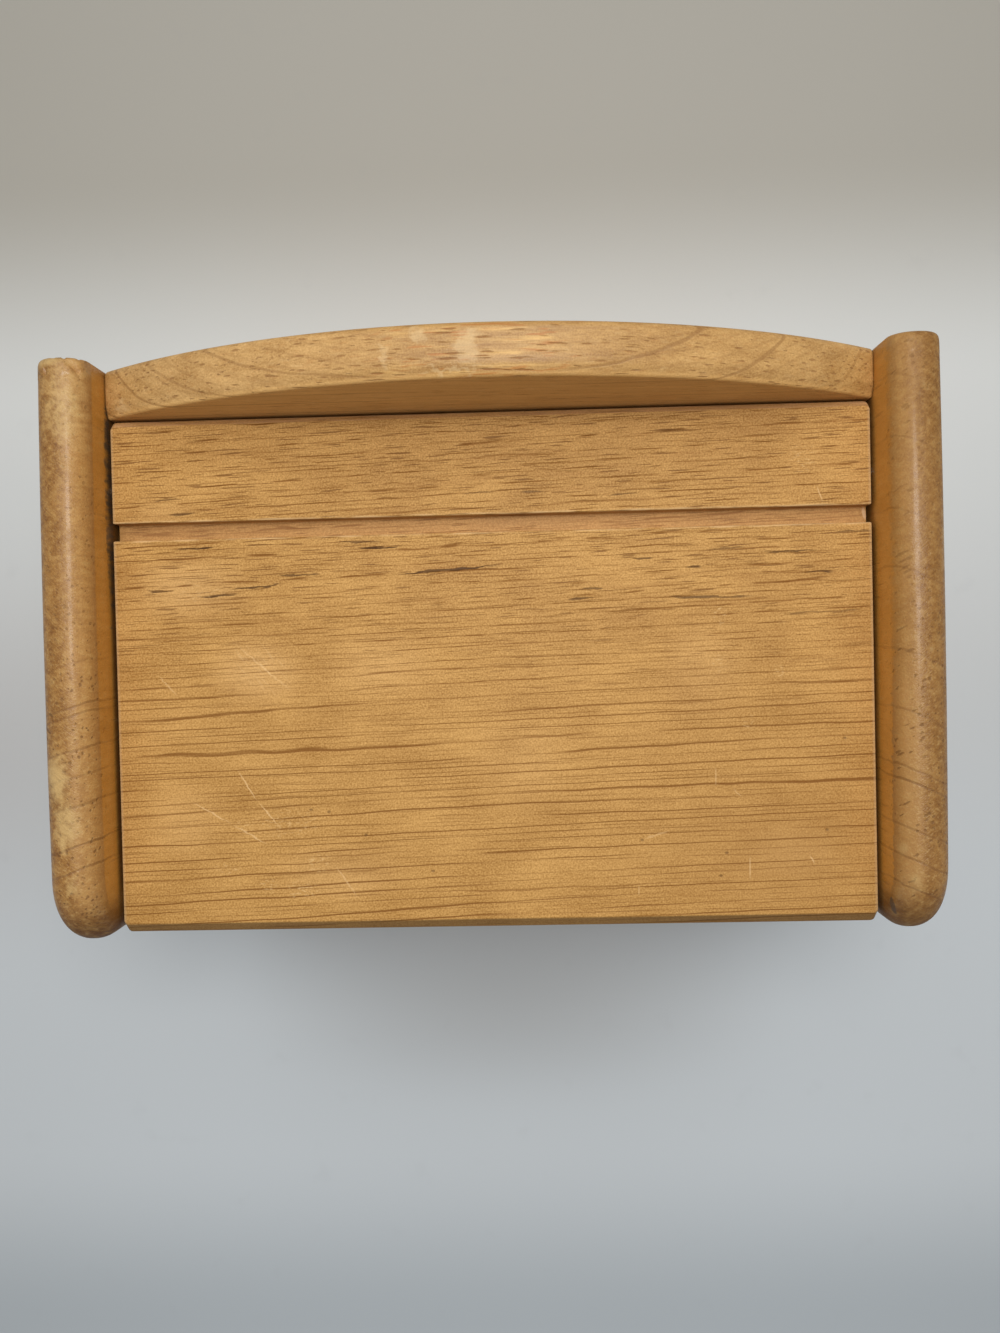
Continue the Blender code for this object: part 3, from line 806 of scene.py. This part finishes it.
# Painted light: the sloping ends of the arch are painted lighter where they face away from the lamp,
# the left end more
ends = (x.rise(-0.012, -0.042) * 0.50 + x.rise(0.026, 0.050) * 0.20) * on_arch
wood = tint(ends, wood, tint(lightness, seen(164, 122, 66), seen(226, 184, 124)))
# Painted light on the arch's front face, which faces away from the lamps: a paler tone, paler still
# towards the left
towards_lid = y.rise(BACK_FRONT_Y + 0.0012, BACK_FRONT_Y + 0.0002)
over_lid = z.rise(0.112, 0.118)
front_light = lightness * 0.5 + x.rise(0.020, -0.045) * 0.2 + 0.27
front_face_painted_light = tint(front_light, seen(176, 128, 66), seen(224, 180, 114))
wood = tint(towards_lid * over_lid * 0.8, wood, front_face_painted_light)
middle = (1 - sloping * 0.8) * on_arch
orange = cloud(here, (0.0075, 0.00060, 0.00060), 2.0).rise(0.56, 0.68) * middle
cream = cloud(grain_way(here, (0, 0, 0), (0.5, 0.2, 0.1)), (0.010, 0.0011, 0.0011), 3.0)
cream = cream.rise(0.52, 0.74) * middle
wood = tint(cream * 0.5, wood, seen(230, 186, 112))
wood = tint(orange * 0.62, wood, seen(170, 104, 40))
wood = tint(rings_seen.most(streaky) * (fibres * 0.5 + 0.24), wood, seen(128, 86, 40))
wood = tint(dashes * (on_arch * 0.14 + middle * 0.14 + 0.36), wood, seen(128, 80, 34))
torn_by = {"Vector": here, "Scale": 420.0, "Detail": 4.0}
torn = here.node("ShaderNodeVectorMath", {"operation": "MULTIPLY_ADD"}, {
    0: here.node("ShaderNodeTexNoise", {}, torn_by, "Color"),
    1: (2 * BACK_WORN_RAGGED, 2 * BACK_WORN_RAGGED, 0.0),
    2: here,
})
specks = pores(grain_way(here, (-48, 0, 1.5), (0.1, 0.2, 0.3)), 0.00095, 0.0015, 0.00026)
wood = tint(specks * ends, wood, seen(122, 80, 36))
ragged_shift = Vector((BACK_WORN_RAGGED, BACK_WORN_RAGGED, 0.0))
worn = strongest(
    mark(torn, Vector(centre) + ragged_shift, halves).rise(-0.1, 0.9) * strength
    for centre, halves, strength in BACK_WORN_PATCHES
)
scuffed = cloud(here, (0.0030, 0.0007, 0.003), 3.0)
wood = tint((worn + scuffed * 1.6 - 0.95).rise(-0.1, 0.9) * 0.34, wood, seen(226, 198, 148))
height = (fibres - 0.5) * 0.4 + (speckle - 0.5) * 0.5 - dashes - rings_seen * 0.4
surface(here, {
    "Base Color": wood,
    "Roughness": blotch * 0.16 + dashes * 0.2 + 0.40,
    "Specular IOR Level": 0.34,
    "Coat Weight": 0.06,
    "Coat Roughness": 0.30,
    "Normal": relief(here, height, 0.00008),
})
dress(back_board, back_finish, "case", ["back_board"])


# ---- Front panel ----
# Plain board between the sides, set back under the lid's overhang so that a finger reaches the
# lid's front edge. Dowelled at both ends like the back board and grooved for the bottom.
FRONT_Y = (-0.0535, -0.0435)
FRONT_HEIGHT = 0.1117
FRONT_EASE = 0.0005
FRONT_END_EASE = 0.0004
PANEL_END_DRAW = 0.96


def plain_board(name, y_range, z_range, radius, half_length, ease):
    """Straight board along X with eased corners and ends."""
    outline = corner_points([
        (y_range[0], z_range[0], radius),
        (y_range[1], z_range[0], radius),
        (y_range[1], z_range[1], radius),
        (y_range[0], z_range[1], radius),
    ])
    rings = []
    for x, inset in end_stations(half_length, ease, []):
        rings.append([(x, y, z) for y, z in drawn_in(outline, inset * PANEL_END_DRAW)])
    bm = bmesh.new()
    stack(bm, rings)
    return show(name, bm)


def panel_finish(name, turn, shift, top, pale, deep, line):
    """Grain along X on a board that stays in the shade: top is the height where its face ends."""
    finish, here = new_finish(name)
    grain = grain_way(here, turn, shift)
    lines = growth_lines(grain, 0.0026, 0.00018, 2.4, 0.07)
    lines = lines * cloud(grain, (0.03, 0.0016, 0.0016), 1.0).rise(0.42, 0.60)
    lines = lines * (here.axis(2).rise(top, top - 0.0004) * 0.75 + 0.25)
    dashes = pores(grain, 0.0018, 0.020, 0.00022)
    fibres = cloud(grain, (0.008, 0.00025, 0.00025), 2.0)
    blotch = cloud(here, (0.04, 0.02, 0.02), 3.0)
    wood = tint(blotch.rise(0.30, 0.70), deep, pale)
    bands = cloud(grain, (0.060, 0.0028, 0.0028), 2.0).rise(0.34, 0.68)
    wood = tint((fibres - 0.5) * 1.2 + 0.3, wood, pale)
    wood = tint(bands * 0.30, wood, line)
    wood = tint(lines * 0.7, wood, line)
    wood = tint(dashes * 0.6, wood, line)
    height = (fibres - 0.5) * 0.3 - dashes * 0.8 - lines * 0.4
    surface(here, {
        "Base Color": wood,
        "Roughness": blotch * 0.2 + dashes * 0.2 + 0.36,
        "Specular IOR Level": 0.45,
        "Coat Weight": 0.08,
        "Coat Roughness": 0.30,
        "Normal": relief(here, height, 0.00006),
    })
    return finish


front_panel = plain_board(
    "front_board", FRONT_Y, (0, FRONT_HEIGHT), FRONT_EASE, PANEL_HALF_LENGTH, FRONT_END_EASE,
)
bm = bmesh.new()
bore_ends(bm, FRONT_DOWEL_PLACES, DOWEL_DEPTH_IN_PANEL)
low = (-reach, FRONT_Y[1] - BOTTOM_GROOVE_DEPTH, BOTTOM_GROOVE_Z[0])
high = (reach, FRONT_Y[1] + CUT_OVERRUN, BOTTOM_GROOVE_Z[1])
block(bm, low, high)
cut_away(front_panel, bm)
fair(front_panel)
front_finish = panel_finish(
    "front_board_wood", (90, 0, 1.5), (0.3, 0.1, 0.2), FRONT_HEIGHT,
    seen(198, 148, 84), seen(166, 117, 60), seen(118, 74, 34),
)
dress(front_panel, front_finish, "case", ["front_panel"])


# ---- Bottom panel ----
# Thin plywood sheet, its face veneer lengthwise, cut a little smaller than the space for it. It
# floats without glue in grooves in all four boards.
BOTTOM_Y = (-0.0472, 0.0540)
BOTTOM_Z = (0.0040, 0.0080)
BOTTOM_HALF_LENGTH = 0.0846
BOTTOM_EASE = 0.0002

bottom_panel = plain_board(
    "bottom_sheet", BOTTOM_Y, BOTTOM_Z, BOTTOM_EASE, BOTTOM_HALF_LENGTH, BOTTOM_EASE,
)
fair(bottom_panel)
bottom_finish = panel_finish(
    "bottom_ply", (0, 0, -1.0), (0.7, 0.5, 0.1), 1.0,
    seen(212, 176, 128), seen(192, 152, 104), seen(150, 108, 66),
)
dress(bottom_panel, bottom_finish, "case", ["bottom_panel"])


# ---- Lid ----
# One flat board, its grain along the box. A groove near the rear holds a recipe card upright
# while cooking. The front edge is chamfered, the rear edge and all arrises eased, and both ends
# are bored for the steel pins that it turns on.
LID_HALF_WIDTH = 0.0800
LID_Y = (-0.0596, 0.0498)
LID_Z = (0.1120, 0.1220)
LID_FRONT_CHAMFER = 0.0022
LID_REAR_EASE = 0.0012
LID_ARRIS = 0.0004
LID_END_ARRIS_SHARE = 0.7
LID_CORNER_ROUND = 0.0010
LID_CORNER_REACH = 0.003
GROOVE_Y = (0.0244, 0.0281)
GROOVE_DEPTH = 0.0033
GROOVE_ARRIS = 0.0003
PIN_DEPTH_IN_LID = 0.0085
PIN_RUNNING_GAP = 0.00025
LID_GRAIN_RISE_DEG = 1.9

# Marks on the lid's top, in millimetres
LID_STREAKS = [
    # x, y, half length, slope in degrees, strength
    (-62.2, 22.4, 3.4, 1.5, 0.9), (-23.3, 21.6, 3.7, 1.8, 1.0), (-27.0, 23.0, 4.2, 0.5, 0.7),
    (-8.8, 16.6, 8.9, 3.4, 0.9), (-40.4, 16.4, 3.6, 0.6, 0.8), (-57.8, 12.4, 3.6, 3.9, 1.0),
    (-49.7, 14.0, 4.6, 3.9, 0.9), (-70.0, 13.5, 2.4, 1.8, 0.8), (-2.0, 32.7, 3.0, 0.8, 0.6),
    (-68.1, 32.9, 2.6, 3.0, 0.6), (-65.0, 29.8, 2.6, 3.0, 0.6), (32.3, 17.9, 2.0, 0.0, 0.8),
    (42.7, 15.9, 1.4, 0.0, 0.8), (63.1, 18.8, 5.0, 1.0, 0.8), (68.5, 14.3, 3.0, 0.6, 0.8),
    (46.2, 9.6, 7.6, -1.0, 0.7), (19.2, 9.9, 2.2, 2.0, 0.7), (21.5, 11.9, 2.2, 1.5, 0.7),
    (49.7, 19.7, 3.4, 2.3, 0.5), (69.4, 5.9, 7.6, 1.8, 0.5), (76.4, 22.5, 3.3, 0.3, 0.6),
    (9.7, 32.6, 2.4, 1.3, 0.6), (28.5, 31.5, 2.8, 0.8, 0.6), (38.9, 44.5, 3.1, 0.3, 0.4),
]
LID_SCRATCHES = [
    # x, y, half length, slope in degrees, strength
    (-69.1, -6.6, 3.2, -47.5, 0.35), (-52.6, -28.2, 4.2, -58.8, 0.5),
    (-48.2, -34.4, 3.5, -51.2, 0.5), (-60.3, -34.0, 4.9, -30.9, 0.5),
    (-52.2, -38.7, 4.5, -29.4, 0.5), (-48.8, -2.9, 8.4, -41.6, 0.3),
    (-31.9, -49.0, 4.6, -55.7, 0.35), (51.1, -31.7, 1.4, -49.3, 0.3),
    (66.4, -45.9, 1.2, -64.7, 0.5), (53.4, -47.5, 2.8, -91.0, 0.4),
    (46.6, -28.3, 2.3, -91.0, 0.3), (30.0, -52.0, 1.3, -91.0, 0.3),
    (69.3, 30.5, 1.9, -70.0, 0.4), (34.0, -40.2, 3.3, 15.8, 0.3),
]
LID_PALE_CLOUDS = [
    # x, y, half length, half width, strength
    (-64, 14, 17, 9, 0.58), (-50, -4, 13, 10, 0.54), (-24, -3, 16, 9, 0.26),
    (-33, -47, 18, 8, 0.40), (-66, -36, 12, 12, 0.25), (6, -24, 14, 14, 0.18),
    (44, -6, 12, 14, 0.25), (62, -44, 14, 8, 0.20), (-70, 30, 10, 5, 0.25),
]
LID_SCUFFS = [
    # x, y, half length, half width, strength
    (48.0, 5.9, 1.8, 3.2, 0.8), (47.8, -4.6, 2.4, 2.6, 0.7), (60.0, -6.5, 1.6, 2.2, 0.7),
    (53.7, -17.3, 1.8, 2.6, 0.7), (-41.5, -50.7, 4.6, 2.4, 1.0), (-48.4, -49.5, 2.8, 2.2, 0.8),
    (-38.0, -44.8, 3.4, 2.6, 0.8), (-57.6, -45.9, 4.0, 1.6, 0.7), (-53.4, -37.2, 2.6, 2.4, 0.6),
    (-44.0, -36.5, 9.0, 4.4, 0.6), (-62.0, 13.0, 7.0, 3.0, 0.5), (66.0, 38.0, 4.0, 4.0, 0.6),
]
LID_DENTS = [
    # x, y
    (-39.1, -33.6), (-35.3, -34.1), (-27.5, -39.2), (-13.4, -47.1), (73.6, -20.6), (69.6, -39.8),
    (47.3, -49.1), (48.6, -44.3), (30.9, -41.3),
]

lid_outline = corner_points([
    (LID_Y[0], LID_Z[0], LID_ARRIS),
    (LID_Y[1], LID_Z[0], LID_ARRIS),
    (LID_Y[1], LID_Z[1] - LID_REAR_EASE, LID_ARRIS),
    (LID_Y[1] - LID_REAR_EASE, LID_Z[1], LID_ARRIS),
    (GROOVE_Y[1], LID_Z[1], GROOVE_ARRIS),
    (GROOVE_Y[1], LID_Z[1] - GROOVE_DEPTH, GROOVE_ARRIS),
    (GROOVE_Y[0], LID_Z[1] - GROOVE_DEPTH, GROOVE_ARRIS),
    (GROOVE_Y[0], LID_Z[1], GROOVE_ARRIS),
    (LID_Y[0] + LID_FRONT_CHAMFER, LID_Z[1], LID_ARRIS),
    (LID_Y[0], LID_Z[1] - LID_FRONT_CHAMFER, LID_ARRIS),
])
rings = []
for x, inset in end_stations(LID_HALF_WIDTH, LID_CORNER_ROUND, []):
    arris = ease_in(LID_HALF_WIDTH - abs(x), LID_ARRIS) * LID_END_ARRIS_SHARE
    corner = max(0.0, inset - arris)
    ring = []
    for y, z in drawn_in(lid_outline, arris):
        if y > LID_Y[1] - LID_CORNER_REACH:
            y -= corner
        if y < LID_Y[0] + LID_CORNER_REACH:
            y += corner
        ring.append((x, y, z))
    rings.append(ring)
bm = bmesh.new()
stack(bm, rings)
lid = show("lid_board", bm)
bm = bmesh.new()
for hand in (-1, 1):
    inner_end = hand * (LID_HALF_WIDTH - PIN_DEPTH_IN_LID - PIN_RUNNING_GAP)
    outer_end = hand * (LID_HALF_WIDTH + CUT_OVERRUN)
    rod(bm, inner_end, outer_end, *PIN_PLACE, PIN_RADIUS + PIN_RUNNING_GAP)
cut_away(lid, bm)
fair(lid)


def lid_mark(here, x, y, half_length, half_width, fade, slope_deg=0.0):
    """Soft mark on the lid's top, in millimetres; fade is how far below the top it ends."""
    centre = (x / 1000, y / 1000, LID_Z[1])
    return mark(here, centre, (half_length / 1000, half_width / 1000, fade / 1000), slope_deg)


lid_finish, here = new_finish("lid_wood")
grain = grain_way(here, (0, 0, -LID_GRAIN_RISE_DEG), (0.05, 0.02, 0.0))
x, y, z = here.axis(0), here.axis(1), here.axis(2)
rearward = y.rise(-0.025, 0.022)
front_face = y.rise(LID_Y[0] + 0.0005, LID_Y[0] + 0.0001)
long_kept = cloud(grain, (0.034, 0.0015, 0.0015), 1.0).rise(0.34, 0.56)
short_kept = cloud(grain, (0.0075, 0.0010, 0.0010), 1.0).rise(0.46, 0.62)
lines = growth_lines(grain, 0.0020, 0.00019, 2.0, 0.19)
lines = lines * (long_kept * (1 - rearward) + short_kept * rearward)
fine_grain = grain_way(grain, (0, 0, 0.5), (0.3, 0.3, 0))
fine_lines = growth_lines(fine_grain, 0.0011, 0.00013, 2.0, 0.15)
fine_kept = cloud(grain, (0.016, 0.0010, 0.0010), 1.0).rise(0.42, 0.60)
lines = lines.most(fine_lines * fine_kept * 0.6) * (1 - front_face * 0.8)
dashes = cloud(grain, (0.0070, 0.00032, 0.00032), 1.0).rise(0.61, 0.70) * (rearward * 0.85 + 0.06)
bands = cloud(grain, (0.022, 0.0012, 0.0012), 2.0).rise(0.52, 0.72) * (rearward * 0.5 + 0.2)
fibres = cloud(grain, (0.006, 0.00028, 0.00028), 2.0)
blotch = cloud(here, (0.016, 0.010, 0.02), 4.0)
speckle = cloud(here, (0.00036, 0.00036, 0.00036), 1.0)

# The wood under its lacquer, paler in clouds, with painted shade towards the front right corner
# and the right end
lightness = (blotch - 0.5) * 0.9 + (fibres - 0.5) * 0.5 + (speckle - 0.5) * 1.5 + 0.54
wood = tint(lightness, seen(146, 101, 42), seen(208, 162, 96))
wood = tint(bands * 0.34, wood, seen(146, 98, 44))
clouds = strongest(
    lid_mark(here, *place, 20.0).rise(0.0, 0.9) * strength for *place, strength in LID_PALE_CLOUDS
)
wood = tint(clouds * (blotch * 0.8 + 0.1), wood, seen(228, 184, 124))
front_corner_shade = lid_mark(here, 60, -45, 42, 24, 20).rise(0.0, 1.0)
wood = tint(front_corner_shade * 0.28 + x.rise(0.0, 0.07) * 0.07, wood, seen(150, 106, 56))
wood = tint(dashes * 0.80, wood, seen(108, 66, 22))
wood = tint(lines * 0.82, wood, seen(116, 70, 18))

# Dark pore streaks, then what years of use have left: scratches, scuffs and dents
sway = (cloud(grain, (0.004, 0.0006, 0.0006), 2.0) - 0.5) * 0.0012
sway = here.node("ShaderNodeCombineXYZ", {}, {"Y": sway})
ragged = here.node("ShaderNodeVectorMath", {"operation": "ADD"}, {0: here, 1: sway})
streaks = strongest(
    lid_mark(ragged, *place, half_length * 1.45, 0.27, 2.0, slope).rise(0.05, 0.45) * strength
    for *place, half_length, slope, strength in LID_STREAKS
)
streaks = streaks * (1 - front_face)
wood = tint(streaks * (fibres * 0.9 + 0.5), wood, seen(74, 44, 14))
scratches = strongest(
    lid_mark(ragged, *place, half_length * 1.1, 0.22, 2.0, slope).rise(0.0, 0.6) * strength
    for *place, half_length, slope, strength in LID_SCRATCHES
)
rubbed = cloud(grain_way(here, (0, 0, 50), (0, 0, 0)), (0.004, 0.0004, 0.0004), 2.0)
rubbed = lid_mark(here, -49, -3, 9, 6, 3, -41).rise(0.0, 0.8) * rubbed.rise(0.5, 0.7)
wood = tint(scratches + rubbed * 0.35, wood, seen(232, 194, 140))
scuffs = strongest(
    lid_mark(here, *place, 3.0).rise(0.0, 0.6) * strength for *place, strength in LID_SCUFFS
)
flecks = cloud(grain, (0.0011, 0.00042, 0.002), 3.0).rise(0.52, 0.68)
wood = tint(scuffs * flecks * 0.50, wood, seen(232, 196, 140))
dents = strongest(lid_mark(here, *place, 0.6, 0.4, 2.0).rise(0.1, 0.7) for place in LID_DENTS)
wood = tint(dents * 0.6, wood, seen(96, 64, 34))

# Front face, worn ends, frayed groove lips, rear arris, front chamfer and groove bottom
lengthwise = cloud(grain, (0.060, 0.0024, 0.0024), 2.0).rise(0.30, 0.70)
stripes = (fibres - 0.5) * 1.1 + lengthwise * 0.8 + 0.1
plain_face = tint(stripes, seen(140, 96, 42), seen(196, 150, 84))
wood = tint(front_face * 0.75, wood, plain_face)
end_wear = abs(x).rise(LID_HALF_WIDTH - 0.0008, LID_HALF_WIDTH - 0.0002)
near_top = z.rise(LID_Z[1] - 0.0012, LID_Z[1] - 0.0004)
wood = tint(end_wear * near_top * 0.36, wood, seen(208, 178, 138))
lips = strongest(abs(y - lip).rise(0.00055, 0.00015) for lip in GROOVE_Y)
frayed = cloud(here, (0.006, 0.0005, 0.002), 3.0).rise(0.36, 0.62)
wood = tint(lips * near_top * frayed * 0.6, wood, seen(226, 190, 138))
rear_band = y.rise(LID_Y[1] - LID_REAR_EASE * 1.15, LID_Y[1] - LID_REAR_EASE * 0.9)
wood = tint(rear_band * (frayed * 0.3 + 0.25), wood, seen(206, 164, 122))
splinter = mark(here, (0.0795, 0.0266, 0.1188), (0.0005, 0.0016, 0.001), 12).rise(0.0, 0.4)
wood = tint(splinter * 0.8, wood, seen(222, 190, 150))
# Painted shade on the front chamfer, which faces away from the lamps
chamfered = y.rise(LID_Y[0] + LID_FRONT_CHAMFER, LID_Y[0] + LID_FRONT_CHAMFER * 0.8)
chamfered = chamfered * z.rise(LID_Z[1] - LID_FRONT_CHAMFER * 1.2, LID_Z[1] - LID_FRONT_CHAMFER)
wood = tint(chamfered * 0.55, wood, seen(92, 66, 34))
in_groove = z.rise(LID_Z[1] - GROOVE_DEPTH + 0.0012, LID_Z[1] - GROOVE_DEPTH + 0.0004)
wood = tint(in_groove * rearward * 0.35, wood, seen(190, 142, 96))
height = (fibres - 0.5) * 0.25 + (speckle - 0.5) * 0.2 - lines * 0.5 - dashes * 0.5 - streaks
height = height - dents * 1.5
surface(here, {
    "Base Color": wood,
    "Roughness": blotch * 0.18 + lines * 0.12 + 0.46,
    "Specular IOR Level": 0.16,
    "Normal": relief(here, height, 0.00007),
})
dress(lid, lid_finish, "lid", ["lid"])


# ---- Pivot pins ----
# Two short steel pins, driven into the side boards, that the lid turns on. Their ends are
# chamfered, and a few turns of fine tool marks run round them.
pin_finish, here = new_finish("pin_steel")
turned = cloud(here, (0.00012, 0.003, 0.003), 2.0)
tarnish = cloud(here, (0.002, 0.002, 0.002), 3.0).rise(0.45, 0.75)
steel = tint(tarnish * 0.7, seen(168, 166, 160), seen(122, 112, 98))
surface(here, {
    "Base Color": steel,
    "Metallic": 1.0,
    "Roughness": turned * 0.2 + tarnish * 0.2 + 0.2,
    "Normal": relief(here, turned, 0.00002),
})
for name in ("left_pivot_pin", "right_pivot_pin"):
    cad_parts[name].material_slots[0].material = pin_finish


# ---- Dowels ----
# Twelve plain birch dowels, turned to 6 mm. Glue holds them in the bores of the side boards and
# in the ends of the front panel and the back board, so none of them shows.
dowel_finish, here = new_finish("dowel_wood")
fibres = cloud(here, (0.008, 0.00025, 0.00025), 2.0)
glue = cloud(here, (0.003, 0.002, 0.002), 3.0).rise(0.5, 0.8)
birch = tint(fibres, seen(214, 186, 146), seen(232, 208, 170))
birch = tint(glue * 0.4, birch, seen(196, 160, 108))
surface(here, {
    "Base Color": birch,
    "Roughness": glue * -0.2 + 0.65,
    "Normal": relief(here, fibres, 0.00004),
})
for name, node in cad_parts.items():
    if "dowel" in name:
        node.material_slots[0].material = dowel_finish
